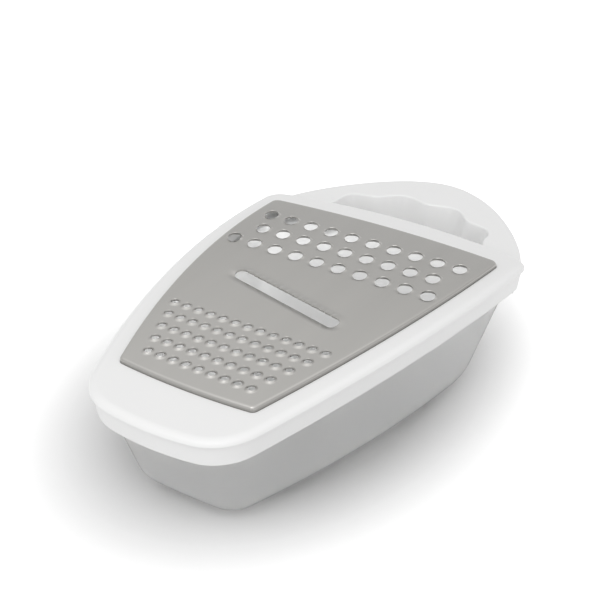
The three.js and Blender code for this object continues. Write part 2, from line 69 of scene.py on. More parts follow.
# Points along each stretch of a plan's outline
FRONT_STEPS = 12
FRONT_CORNER_STEPS = 12
SIDE_STEPS = 28
BACK_CORNER_STEPS = 10
BACK_STEPS = 14
# Steps round the small edges of the mouldings
EDGE_STEPS = 3
# Least radius that a corner keeps when its outline is moved inwards
MIN_CORNER = 0.0008
# Points closer than this are merged
NEAR = 0.00001
# Radius of a circle before it is shaped to a ring
START_RADIUS = 0.01
# Edges that turn by more than this stay sharp
SHARP_MOULDING = math.radians(35.0)
SHARP_SHEET = math.radians(40.0)
# How strongly large faces lead the shading of the roundings beside them
FLATS_LEAD = 60

Plan = namedtuple(
    "Plan",
    "half_width side_radius widest_y front_y front_radius front_corner back_y back_radius back_corner",
)


def setting(kind, label, note, default, **limits):
    """A value that a user may change."""
    return kind(name=label, description=note, default=default, **limits)


def length(label, note, default):
    """A size."""
    return setting(FloatProperty, label, note, default, unit="LENGTH", precision=5)


def angle(label, note, degrees):
    """An angle, given in degrees."""
    return setting(FloatProperty, label, note, math.radians(degrees), subtype="ANGLE")


def colour(label, note, default):
    """A colour."""
    return setting(FloatVectorProperty, label, note, default, subtype="COLOR", min=0.0, max=1.0)


def spot(label, note, default):
    """A place."""
    return setting(FloatVectorProperty, label, note, default, subtype="TRANSLATION", precision=5)


def portion(label, note, default, least=0.0):
    """A share of something."""
    return setting(FloatProperty, label, note, default, subtype="FACTOR", min=least, max=1.0)


def amount(label, note, default):
    """A plain number."""
    return setting(FloatProperty, label, note, default, subtype="UNSIGNED", min=0.0)


def number(label, note, default, least, most):
    """A count."""
    return setting(IntProperty, label, note, default, subtype="UNSIGNED", min=least, max=most)


class GraterLidSettings(bpy.types.PropertyGroup):
    """Sizes and colour of the white lid."""

    crown_height: length("Crown height", "Top of the sheet at the crown of its arch", 0.055)
    arch_radius: length("Arch radius", "Radius of the lid's arch along its length", 0.817)
    arch_forward: length("Arch forward", "Crown, forward of the plate's middle", 0.006)
    width: length("Width", "Widest place across the lid", 0.1224)
    front_width: length("Front width", "Width at the front, with sharp corners", 0.0572)
    widest_from_back: length("Widest from back", "Widest place, from the back edge", 0.0078)
    front_radius: length("Front radius", "Bow of the front edge", 0.110)
    front_corner: length("Front corner", "Radius of the front corners", 0.022)
    back_radius: length("Back radius", "Bow of the back edge", 0.215)
    back_corner: length("Back corner", "Radius of the back corners", 0.009)
    deck_thickness: length("Deck thickness", "Wall of the deck", 0.0026)
    shoulder_width: length("Shoulder width", "Width of the rounded shoulder", 0.0032)
    shoulder_drop: length("Shoulder drop", "Height of the rounded shoulder", 0.002)
    lip_land: length("Lip land", "Upright strip below the shoulder", 0.0002)
    band_height: length("Band height", "Height of the set-back band", 0.0086)
    band_setback: length("Band setback", "Step from the lip in to the band", 0.001)
    band_draft: length("Band draft", "How far the band draws in towards its foot", 0.0011)
    skirt_wall: length("Skirt wall", "Wall of the band", 0.0015)
    edge_round: length("Edge round", "Rounding of the edges", 0.0004)
    clearance: length("Clearance", "Gap between pieces that fit together", 0.0003)
    white: colour("White", "Colour of the moulded lid", (0.91, 0.91, 0.907))


class GraterGripSettings(bpy.types.PropertyGroup):
    """Sizes of the finger grip at the wide end."""

    reach: length("Reach", "From the lid's back edge to the tip", 0.0435)
    height: length("Height", "Height of the grip's wall", 0.0125)
    drop: length("Drop", "Step from the deck to the grip's top", 0.0018)
    root_inset: length("Root inset", "Outer edge of the roots, in from the lid's widest", 0.0032)
    flank: length("Flank", "How far the sides run straight back", 0.014)
    nose: length("Nose", "How far the tip runs straight across", 0.026)
    taper: length("Taper", "How far the sides draw in", 0.002)
    lip: length("Lip", "Thickness of the overhanging lip", 0.0028)
    overhang: length("Overhang", "How far the lip overhangs the wall", 0.002)
    wall: length("Wall", "Wall thickness", 0.0022)
    edge: length("Edge", "Rounding of the lip", 0.0008)
    draft: length("Draft", "Lean of the inner wall into the opening", 0.003)
    side: length("Side", "Width of the arms at the roots", 0.0205)
    depth: length("Opening depth", "Half depth of the opening", 0.0273)
    from_tip: length("Opening from tip", "From the tip to the opening", 0.0231)
    fingers: number("Fingers", "Finger hollows round the opening", 4, 1, 6)
    finger_angle: angle("Finger angle", "Turn from one hollow to the next", 36.0)
    finger_hollow: length("Finger hollow", "Depth of a hollow", 0.0036)


class GraterPlateSettings(bpy.types.PropertyGroup):
    """Sizes and colour of the steel plate."""

    thickness: length("Thickness", "Thickness of the sheet", 0.0006)
    proud: length("Proud", "How far the sheet stands above the deck", 0.0018)
    bend: length("Bend", "Radius of the turned-down edge", 0.001)
    front_radius: length("Front radius", "Bow of the front edge", 0.280)
    front_corner: length("Front corner", "Radius of the front corners", 0.0024)
    back_radius: length("Back radius", "Bow of the back edge", 0.370)
    back_corner: length("Back corner", "Radius of the back corners", 0.0034)
    side_border: length("Side border", "White border beside the plate", 0.0083)
    front_border: length("Front border", "White border in front of the plate", 0.021)
    back_border: length("Back border", "White border behind the plate", 0.0166)
    seat_gap: length("Seat gap", "Gap between the turned-down edge and the deck", 0.0001)
    seat_depth: length("Seat depth", "Depth of the groove for the turned-down edge", 0.0012)
    land_width: length("Land width", "Width of the land under the sheet", 0.0025)
    steel: colour("Steel", "Colour of the stainless sheet", (0.4, 0.392, 0.376))


class GraterCoarseSettings(bpy.types.PropertyGroup):
    """Sizes of the coarse teeth."""

    pitch: length("Pitch", "Spacing in a row", 0.0097)
    row: length("Row", "Spacing of the rows", 0.01344)
    first_row: length("First row", "First row, from the plate's back edge", 0.0199)
    margin: length("Margin", "Least distance from a tooth to the side", 0.0055)
    hole: length("Hole", "Width of a hole", 0.0058)
    skirt: length("Skirt", "Width of the drawn metal round a hole", 0.0012)
    ramp: length("Ramp", "Length of the ramp in front of a hole", 0.002)
    rise: length("Rise", "Height of a cutting lip", 0.0011)
    front: portion("Front", "Front of a tooth as a share of its lip", -0.5, -1.0)
    lean: length("Lean", "How far a lip leans forward", 0.0002)


class GraterFineSettings(bpy.types.PropertyGroup):
    """Sizes of the fine teeth."""

    pitch: length("Pitch", "Spacing in a row", 0.00541)
    row: length("Row", "Spacing of the rows", 0.00737)
    first_row: length("First row", "First row, from the plate's front edge", 0.0097)
    margin: length("Margin", "Least distance from a tooth to the side", 0.0065)
    hole: length("Hole", "Width of a hole", 0.0033)
    skirt: length("Skirt", "Width of the drawn metal round a hole", 0.0006)
    ramp: length("Ramp", "Length of the ramp in front of a hole", 0.0012)
    rise: length("Rise", "Height of a cutting lip", 0.0006)
    front: portion("Front", "Front of a tooth as a share of its lip", 0.95, -1.0)
    lean: length("Lean", "How far a lip leans forward", 0.00015)


class GraterSlotSettings(bpy.types.PropertyGroup):
    """Sizes of the slicing slot."""

    span: length("Span", "Length of the slot", 0.054)
    width: length("Width", "Width of the slot", 0.0054)
    skew: angle("Skew", "Turn of the slot from straight across", -13.7)
    from_front: length("From front", "Middle of the slot, from the plate's front edge", 0.0635)
    to_teeth: length("To teeth", "Least distance from the slot to a tooth", 0.0045)
    points: number("Points", "Serrations along the blade", 14, 4, 40)
    point_depth: length("Point depth", "Depth of a serration", 0.001)
    blade_rise: length("Blade rise", "Height of the blade's points", 0.0011)
    gullet_rise: length("Gullet rise", "Height of the blade between its points", 0.0003)
    ramp_drop: length("Ramp drop", "How far the ramp is pressed down", 0.0008)
    ramp: length("Ramp", "Width of the drawn metal round the slot", 0.0034)


class GraterTraySettings(bpy.types.PropertyGroup):
    """Sizes and colour of the catch tray."""

    wall: length("Wall", "Wall thickness", 0.002)
    floor: length("Floor", "Floor thickness", 0.0022)
    rim_width: length("Rim width", "How far the rim stands out from the wall", 0.0006)
    rim_height: length("Rim height", "Height of the rim", 0.0022)
    foot_back_side: length("Foot back side", "Foot's inset from the lid at its widest", 0.0097)
    foot_front_side: length("Foot front side", "Foot's inset from the lid's sides at the front", 0.0086)
    foot_front: length("Foot front", "Foot's inset at the front", 0.0204)
    foot_back: length("Foot back", "Foot's inset at the back", 0.029)
    foot_widest: length("Foot widest", "Foot's widest place, behind the lid's", 0.012)
    foot_front_radius: length("Foot front radius", "Bow of the foot's front", 0.300)
    foot_back_radius: length("Foot back radius", "Bow of the foot's back", 0.200)
    foot_front_corner: length("Foot front corner", "Radius of the foot's front corners", 0.012)
    foot_back_corner: length("Foot back corner", "Radius of the foot's back corners", 0.017)
    foot_round: length("Foot round", "Rounding under the foot", 0.013)
    frost: colour("Frost", "Colour of the frosted plastic", (0.75, 0.75, 0.746))


class GraterStageSettings(bpy.types.PropertyGroup):
    """Camera, floor and light."""

    azimuth: angle("Azimuth", "Turn of the camera from the front", 32.53)
    elevation: angle("Elevation", "Height of the camera over the floor", 30.48)
    distance: length("Distance", "Camera to the point that it looks at", 0.4628)
    target: spot("Target", "Point in the middle of the picture", (0.00568, -0.02496, 0.055))
    lens: setting(FloatProperty, "Lens", "Focal length for a 36 mm sensor", 75.6, unit="CAMERA")
    floor_size: length("Floor size", "Side of the floor", 6.0)
    floor_grey: portion("Floor", "Reflectance of the floor", 0.7)
    # Painted glow: how strongly the floor glows for rays seen through the tray, round it and under it,
    # which lightens the tray and its inside seen through the holes
    glow_through_tray: portion("Lift through", "White that the floor adds where the tray shows it", 0.34)
    glow_under_tray: portion("Lift under", "White that the floor adds under the tray", 0.7)
    # Painted shade: the floor's white glow is held back inside an ellipse round the tray, which leaves a
    # painted shadow there; the glow grows from White from to White to
    painted_shade_length: length("Shade length", "Half length of the dim floor round the tray", 0.091)
    painted_shade_width: length("Shade width", "Half width of the dim floor round the tray", 0.066)
    painted_shade_middle: spot("Shade middle", "Middle of the dim floor round the tray", (-0.013, -0.006, 0.0))
    white_from: amount("White from", "Where the floor starts to whiten, in half widths", 0.85)
    white_to: amount("White to", "Where the floor is all white, in half widths", 1.9)
    sky: amount("Sky", "Strength of the even light", 0.7)
    sky_turn: angle("Sky turn", "Bright side of the sky, right of the front", 35.0)
    sky_lean: portion("Sky lean", "How much brighter the bright side is", 0.85)
    lamp: setting(FloatProperty, "Lamp", "Power of the soft lamp", 6.4, unit="POWER", min=0.0)
    lamp_size: length("Lamp size", "Side of the soft lamp", 1.0)
    lamp_azimuth: angle("Lamp azimuth", "Turn of the lamp from the front", 5.0)
    lamp_elevation: angle("Lamp elevation", "Height of the lamp over the floor", 54.0)
    lamp_distance: length("Lamp distance", "Soft lamp to the part", 1.7)


class Layout:
    """Levels, places and plans that follow from the sizes."""

    def __init__(self, scene):
        lid, grip, plate = scene.grater_lid, scene.grater_grip, scene.grater_plate
        slot, tray = scene.grater_slot, scene.grater_tray
        self.front_y = CAD_LOW.y
        self.tip_y = CAD_HIGH.y
        self.back_y = self.tip_y - grip.reach
        self.plate_front_y = self.front_y + plate.front_border
        self.plate_back_y = self.back_y - plate.back_border
        self.arch_y = (self.plate_front_y + self.plate_back_y) / 2 - lid.arch_forward
        self.arch_radius = lid.arch_radius
        self.crown_z = lid.crown_height
        self.deck_z = self.crown_z - plate.proud
        self.rim_top_z = self.deck_z - lid.deck_thickness - lid.clearance
        self.lip_height = lid.shoulder_drop + lid.lip_land + lid.edge_round
        self.skirt_depth = self.lip_height + lid.band_height
        self.band_foot = lid.band_setback + lid.band_draft
        self.skirt_inside = self.band_foot + lid.skirt_wall
        self.grip_top_z = self.deck_z - self.arch_drop(self.back_y) - grip.drop
        self.grip_half_width = lid.width / 2 - grip.root_inset
        self.slot_y = self.plate_front_y + slot.from_front
        self.slot_straight = (slot.span - slot.width) / 2
        skewed = self.slot_straight * abs(math.sin(slot.skew))
        self.slot_reach = skewed + slot.width / 2 + slot.ramp
        self.lid_plan = self.make_lid_plan(lid)
        self.plate_plan = self.make_plate_plan(plate)
        rim = self.skirt_inside + lid.clearance
        self.tray_top_plan = shrink(self.lid_plan, rim + tray.rim_width)
        self.tray_foot_plan = self.make_foot_plan(lid, tray)

    def arch_drop(self, y):
        """How far the arch has dropped below its crown."""
        return (y - self.arch_y) ** 2 / (2 * self.arch_radius)

    def back_edge_y(self, x, inset):
        """Where the lid's bowed back edge, moved inwards, lies at a place across the width."""
        plan = self.lid_plan
        return plan.back_y - plan.back_radius + math.sqrt((plan.back_radius - inset) ** 2 - x ** 2)

    def make_lid_plan(self, lid):
        widest_y = self.back_y - lid.widest_from_back
        return Plan(
            lid.width / 2, bow_radius(widest_y - self.front_y, (lid.width - lid.front_width) / 2), widest_y,
            self.front_y, lid.front_radius, lid.front_corner, self.back_y, lid.back_radius, lid.back_corner,
        )

    def make_plate_plan(self, plate):
        return self.lid_plan._replace(
            half_width=self.lid_plan.half_width - plate.side_border,
            side_radius=self.lid_plan.side_radius - plate.side_border,
            front_y=self.plate_front_y, front_radius=plate.front_radius, front_corner=plate.front_corner,
            back_y=self.plate_back_y, back_radius=plate.back_radius, back_corner=plate.back_corner,
        )

    def make_foot_plan(self, lid, tray):
        half_width = lid.width / 2 - tray.foot_back_side
        front_half_width = lid.front_width / 2 - tray.foot_front_side
        widest_y = self.lid_plan.widest_y + tray.foot_widest
        front_y = self.front_y + tray.foot_front
        return Plan(
            half_width, bow_radius(widest_y - front_y, half_width - front_half_width), widest_y,
            front_y, tray.foot_front_radius, tray.foot_front_corner,
            self.back_y - tray.foot_back, tray.foot_back_radius, tray.foot_back_corner,
        )

    def arched(self, points, z, share=1.0):
        """A level ring that follows the arch."""
        return [Vector((x, y, z - share * self.arch_drop(y))) for x, y in points]


def bow_radius(run, drawn_in):
    """Radius of a side that is straight at its widest and draws in over a run."""
    return (run ** 2 + drawn_in ** 2) / (2 * drawn_in)


def shrink(plan, inset):
    """A plan moved inwards all round."""
    return Plan(
        plan.half_width - inset, plan.side_radius - inset, plan.widest_y,
        plan.front_y + inset, plan.front_radius - inset, max(plan.front_corner - inset, MIN_CORNER),
        plan.back_y - inset, plan.back_radius - inset, max(plan.back_corner - inset, MIN_CORNER),
    )


def between(low, high, share):
    """A plan part of the way from one to another."""
    return Plan(*(a + (b - a) * share for a, b in zip(low, high)))


def meeting_point(first, first_reach, second, second_reach, turn):
    """Place at given distances from two centres, to the left or right of the line between them."""
    line = second - first
    along = (first_reach ** 2 - second_reach ** 2 + line.length_squared) / (2 * line.length)
    across = turn * math.sqrt(first_reach ** 2 - along ** 2)
    ahead = line.normalized()
    return first + ahead * along + Vector((-ahead.y, ahead.x)) * across


def heading(start, end):
    return math.atan2(end.y - start.y, end.x - start.x)


def arc(centre, radius, start, end, steps):
    """Points along an arc, without its last one."""
    points = []
    for i in range(steps):
        turn = start + (end - start) * i / steps
        points.append((centre.x + radius * math.cos(turn), centre.y + radius * math.sin(turn)))
    return points


def outline(base_plan, inset=0.0):
    """Closed outline of a tapered plan, anticlockwise from the middle of its front."""
    plan = shrink(base_plan, inset)
    side = Vector((plan.half_width - plan.side_radius, plan.widest_y))
    front = Vector((0.0, plan.front_y + plan.front_radius))
    back = Vector((0.0, plan.back_y - plan.back_radius))
    side_reach = plan.side_radius - plan.front_corner
    nose = meeting_point(side, side_reach, front, plan.front_radius - plan.front_corner, -1)
    side_reach = plan.side_radius - plan.back_corner
    heel = meeting_point(side, side_reach, back, plan.back_radius - plan.back_corner, 1)
    right = arc(front, plan.front_radius, -math.pi / 2, heading(front, nose), FRONT_STEPS)
    right += arc(nose, plan.front_corner, heading(front, nose), heading(side, nose), FRONT_CORNER_STEPS)
    right += arc(side, plan.side_radius, heading(side, nose), heading(side, heel), SIDE_STEPS)
    right += arc(heel, plan.back_corner, heading(side, heel), heading(back, heel), BACK_CORNER_STEPS)
    right += arc(back, plan.back_radius, heading(back, heel), math.pi / 2, BACK_STEPS)
    left = [(-x, y) for x, y in reversed(right[1:])]
    return right + [(0.0, plan.back_y)] + left


def quarter_round(steps):
    """What is left across and what has dropped, from (1, 0) to (0, 1) round a quarter turn."""
    turns = [math.pi / 2 * i / steps for i in range(steps + 1)]
    return [(1 - math.sin(turn), 1 - math.cos(turn)) for turn in turns]


def deselect():
    """Leave nothing selected, in object mode."""
    if bpy.context.object and bpy.context.object.mode != "OBJECT":
        bpy.ops.object.mode_set(mode="OBJECT")
    bpy.ops.object.select_all(action="DESELECT")


def pick(piece):
    """Leave one piece selected and active, in object mode."""
    deselect()
    bpy.context.view_layer.objects.active = piece
    piece.select_set(True)


def edit(piece):
    """Open one piece in edit mode."""
    pick(piece)
    bpy.ops.object.mode_set(mode="EDIT")


def shape_selected(piece, points):
    """Move the selected ring's points to their places."""
    mesh = bmesh.from_edit_mesh(piece.data)
    ring = [vertex for vertex in mesh.verts if vertex.select]
    for vertex, point in zip(ring, points, strict=True):
        vertex.co = point
    bmesh.update_edit_mesh(piece.data)


def loft(name, rings, thin_edge=False):
    """Model an open skin: a circle is shaped to the first ring, then extruded to each next one.

    The last ring may be marked as an edge that the sheet thins out to.
    """
    deselect()
    bpy.ops.mesh.primitive_circle_add(vertices=len(rings[0]), radius=START_RADIUS)
    piece = bpy.context.object
    piece.name = name
    piece.data.name = name
    bpy.ops.object.mode_set(mode="EDIT")
    bpy.ops.mesh.select_mode(type="VERT")
    shape_selected(piece, rings[0])
    for ring in rings[1:]:
        bpy.ops.mesh.extrude_region()
        shape_selected(piece, ring)
    if thin_edge:
        piece.vertex_groups.new(name=THIN_EDGE)
        bpy.ops.object.vertex_group_assign()
    bpy.ops.object.mode_set(mode="OBJECT")
    return piece


def select_open_edges(piece):
    """Open one piece in edit mode, with the edges that have one face only selected."""
    edit(piece)
    bpy.ops.mesh.select_mode(type="EDGE")
    bpy.ops.mesh.select_non_manifold(
        extend=False, use_wire=False, use_boundary=True, use_multi_face=False, use_non_contiguous=False,
        use_verts=False,
    )


def close_section(piece):
    """Bridge the last ring of a skin to its first, so that its section is closed."""
    select_open_edges(piece)
    bpy.ops.mesh.bridge_edge_loops()
    turn_outwards()


def cap_ends(piece):
    """Fill both end rings of a skin."""
    select_open_edges(piece)
    bpy.ops.mesh.fill_holes(sides=0)
    turn_outwards()


def turn_outwards():
    """Point the faces of the piece in edit mode outwards, and close it."""
    bpy.ops.mesh.select_all(action="SELECT")
    bpy.ops.mesh.normals_make_consistent(inside=False)
    bpy.ops.object.mode_set(mode="OBJECT")


def merge_slivers():
    """Merge points that cuts left on top of each other, and the slivers between them."""
    bpy.ops.mesh.select_all(action="SELECT")
    bpy.ops.mesh.remove_doubles(threshold=NEAR)
    bpy.ops.mesh.dissolve_degenerate(threshold=NEAR)


def apply_modifier(piece, kind, **values):
    """Add a modifier with its values and apply it."""
    pick(piece)
    modifier = piece.modifiers.new(kind.title(), kind)
    for name, value in values.items():
        setattr(modifier, name, value)
    bpy.ops.object.modifier_apply(modifier=modifier.name)


def cut_or_join(piece, tool, operation):
    """Cut a piece with a tool, or join the two, and remove the tool."""
    apply_modifier(piece, "BOOLEAN", operation=operation, solver="EXACT", object=tool)
    bpy.data.objects.remove(tool)
    edit(piece)
    merge_slivers()
    bpy.ops.object.mode_set(mode="OBJECT")


def join(pieces, name):
    """Join pieces into the first of them."""
    deselect()
    for piece in pieces:
        piece.select_set(True)
    bpy.context.view_layer.objects.active = pieces[0]
    bpy.ops.object.join()
    pieces[0].name = name
    pieces[0].data.name = name
    return pieces[0]


def hand_over(piece, sharp, node, body, material):
    """Shade and finish a piece, and let it stand for its node and ride on its body."""
    pick(piece)
    bpy.ops.object.shade_smooth_by_angle(angle=sharp)
    apply_modifier(piece, "WEIGHTED_NORMAL", mode="FACE_AREA", weight=FLATS_LEAD, keep_sharp=True)
    piece.data.materials.clear()
    piece.data.materials.append(material)
    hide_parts(node)
    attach(piece, body)


# Finishes

# The part of the cloud's noise that roughness is spread over, and the height of the grain
CLOUD_LOW = 0.3
CLOUD_HIGH = 0.7
GRAIN_HEIGHT = 0.00005


def add_node(tree, kind, inputs, **settings):
    """A node with its settings, and with a value or a link on each input that is given."""
    node = tree.nodes.new(kind)
    for name, value in settings.items():
        setattr(node, name, value)
    for key, source in inputs.items():
        if isinstance(source, bpy.types.NodeSocket):
            tree.links.new(source, node.inputs[key])
        else:
            node.inputs[key].default_value = source
    return node


def mottle_group():
    """Soft cloudy tone and fine grain, for mouldings and sheet alike."""
    name = "Mottle and grain"
    if name in bpy.data.node_groups:
        return bpy.data.node_groups[name]
    group = bpy.data.node_groups.new(name, "ShaderNodeTree")
    group.interface.new_socket("Place", in_out="INPUT", socket_type="NodeSocketVector")
    for label in ("Cloud", "Grain"):
        group.interface.new_socket(f"{label} scale", in_out="INPUT", socket_type="NodeSocketFloat")
        group.interface.new_socket(label, in_out="OUTPUT", socket_type="NodeSocketFloat")
    source = group.nodes.new("NodeGroupInput")
    sink = group.nodes.new("NodeGroupOutput")
    for label, detail in (("Cloud", 3.0), ("Grain", 2.0)):
        noise = add_node(group, "ShaderNodeTexNoise", {
            "Vector": source.outputs["Place"], "Scale": source.outputs[f"{label} scale"], "Detail": detail,
        })
        group.links.new(noise.outputs["Fac"], sink.inputs[label])
    return group


def clouded(name, tone, tints, roughness, cloud_scale, grain_scale, relief, stretch=(1.0, 1.0, 1.0)):
    """A material whose tone and roughness drift in soft clouds, with a fine grain, and its shader."""
    material = bpy.data.materials.new(name)
    material.use_nodes = True
    tree = material.node_tree
    shader = tree.nodes["Principled BSDF"]
    where = tree.nodes.new("ShaderNodeTexCoord").outputs["Object"]
    stretched = add_node(tree, "ShaderNodeMapping", {"Vector": where, "Scale": stretch})
    mottle = add_node(tree, "ShaderNodeGroup", {
        "Place": stretched.outputs["Vector"], "Cloud scale": cloud_scale, "Grain scale": grain_scale,
    }, node_tree=mottle_group())
    cloud = mottle.outputs["Cloud"]
    dark, light = ((*(channel * tint for channel in tone), 1.0) for tint in tints)
    tinted = add_node(tree, "ShaderNodeMix", {"Factor": cloud, "A": dark, "B": light}, data_type="RGBA")
    spread = add_node(tree, "ShaderNodeMapRange", {
        "Value": cloud, "From Min": CLOUD_LOW, "From Max": CLOUD_HIGH,
        "To Min": roughness[0], "To Max": roughness[1],
    })
    bump = add_node(tree, "ShaderNodeBump", {
        "Height": mottle.outputs["Grain"], "Strength": relief, "Distance": GRAIN_HEIGHT,
    })
    tree.links.new(tinted.outputs["Result"], shader.inputs["Base Color"])
    tree.links.new(spread.outputs["Result"], shader.inputs["Roughness"])
    tree.links.new(bump.outputs["Normal"], shader.inputs["Normal"])
    return material, shader


def brushed_steel(tone):
    """Stainless sheet, finely brushed along its length."""
    material, shader = clouded(
        "Brushed steel", tone, tints=(0.93, 1.06), roughness=(0.29, 0.36), cloud_scale=60.0,
        grain_scale=600.0, relief=0.05, stretch=(1.0, 0.03, 1.0),
    )
    shader.inputs["Metallic"].default_value = 1.0
    return material


def white_moulding(tone):
    """Satin white plastic with a fine moulded grain."""
    return clouded(
        "White moulding", tone, tints=(0.985, 1.0), roughness=(0.36, 0.44), cloud_scale=45.0,
        grain_scale=2600.0, relief=0.10,
    )[0]


def frosted_moulding(tone):
    """Translucent plastic with a frosted skin."""
    material, shader = clouded(
        "Frosted moulding", tone, tints=(0.96, 1.0), roughness=(0.52, 0.6), cloud_scale=30.0,
        grain_scale=1800.0, relief=0.15,
    )
    shader.inputs["Transmission Weight"].default_value = 0.85
    shader.inputs["IOR"].default_value = 1.3
    return material


# Steel plate

# Drawn metal from the flat sheet in to the edge of a hole: share of the way in, share of the height
DRAWN_PROFILE = ((-0.12, 0.0), (0.0, 0.0), (0.25, 0.10), (0.5, 0.38), (0.75, 0.72), (1.0, 1.0))
COARSE_SIDES = 24
FINE_SIDES = 16
SERRATION_STEPS = 4
SLOT_END_STEPS = 12
BEND_STEPS = 6
# Edges this close to the top of the sheet lie in it
LEVEL = 0.000002
# Straight strips that the arched sheet is made of
ARCH_STEPS = 24
# Where the flat sheet starts, in bend radii from the plate's edge
RIM_FLAT = 1.15
# Points at a cutting edge, and their share of the sheet's thickness
THIN_EDGE = "thin edge"
THIN_SHARE = 0.3


def tooth_rings(teeth, sides):
    """Rings of one tooth at the origin: a lip drawn up at the back, and a ramp in front, up or down."""
    rings = []
    for inward, upward in DRAWN_PROFILE:
        ring = []
        for i in range(sides):
            turn = -2 * math.pi * (i + 0.5) / sides
            along = math.sin(turn)
            drawn = teeth.skirt + (teeth.ramp - teeth.skirt) * max(0.0, -along)
            reach = teeth.hole / 2 + drawn * (1 - inward)
            lift = teeth.front + (1 - teeth.front) * (1 + along) / 2
            y = reach * along - max(0.0, along) * teeth.lean * upward
            ring.append(Vector((reach * math.cos(turn), y, teeth.rise * lift * upward)))
        rings.append(ring)
    return rings


def row_places(layout, y, pitch, margin, odd):
    """Places of a row of teeth, as many as fit between the sides, odd or even in number."""
    plan = layout.plate_plan
    from_centre = math.sqrt(plan.side_radius ** 2 - (y - plan.widest_y) ** 2)
    half_width = plan.half_width - plan.side_radius + from_centre
    count = math.floor(2 * (half_width - margin) / pitch + 1)
    if count % 2 != odd:
        count -= 1
    return [((i - (count - 1) / 2) * pitch, y) for i in range(count)]


def row_levels(layout, first_y, step, clear):
    """Rows from an end of the plate towards the slot, as many as stay clear of it."""
    room = abs(layout.slot_y - first_y) - layout.slot_reach - clear
    return [first_y + step * i for i in range(math.floor(room / abs(step)) + 1)]


def copies(piece, places, z):
    """A copy of a modelled piece at each place, each with its own mesh, in place of the first."""
    made = []
    for x, y in places:
        pick(piece)
        bpy.ops.object.duplicate(linked=False)
        copy = bpy.context.object
        copy.location = (x, y, z)
        made.append(copy)
    bpy.data.objects.remove(piece)
    return made


def slot_rings(layout, slot):
    """Rings of the slicing slot: a serrated blade along its back and a pressed ramp along its front."""
    half_width = slot.width / 2
    straight = layout.slot_straight
    stations = []
    blade_steps = SERRATION_STEPS * slot.points
    for i in range(blade_steps):
        u = straight * (2 * i / blade_steps - 1)
        point = 1 - abs(2 * ((i / SERRATION_STEPS) % 1) - 1)
        rise = slot.gullet_rise + (slot.blade_rise - slot.gullet_rise) * point
        stations.append(((u, 0.0), (0.0, 1.0), slot.point_depth * point, rise))
    front_steps = 2 * slot.points
    for end in (1, -1):
        for i in range(SLOT_END_STEPS):
            turn = math.pi * i / SLOT_END_STEPS
            away = (end * math.sin(turn), end * math.cos(turn))
            lift = slot.gullet_rise if away[1] > 0 else slot.ramp_drop
            stations.append(((end * straight, 0.0), away, 0.0, lift * away[1]))
        if end == 1:
            for i in range(front_steps):
                u = straight * (1 - 2 * i / front_steps)
                stations.append(((u, 0.0), (0.0, -1.0), 0.0, -slot.ramp_drop))
    rings = []
    cos, sin = math.cos(slot.skew), math.sin(slot.skew)
    for inward, upward in DRAWN_PROFILE:
        ring = []
        for (u, v), away, notch, rise in stations:
            reach = half_width + slot.ramp * (1 - inward) - notch * upward
            u += away[0] * reach
            v += away[1] * reach
            z = layout.crown_z + rise * upward
            ring.append(Vector((u * cos - v * sin, layout.slot_y + u * sin + v * cos, z)))
        rings.append(ring)
    return rings


def plate_rim_rings(layout, lid, plate):
    """Rings of the plate's turned-down edge, from its foot up to the sheet."""
    flange_z = layout.deck_z - plate.seat_depth + lid.clearance
    rings = [(0.0, flange_z), (0.0, layout.crown_z - plate.bend)]
    for across, drop in quarter_round(BEND_STEPS)[1:]:
        rings.append((plate.bend * drop, layout.crown_z - plate.bend * across))
    rings.append((RIM_FLAT * plate.bend, layout.crown_z))
    return [[Vector((x, y, z)) for x, y in outline(layout.plate_plan, inset)] for inset, z in rings]


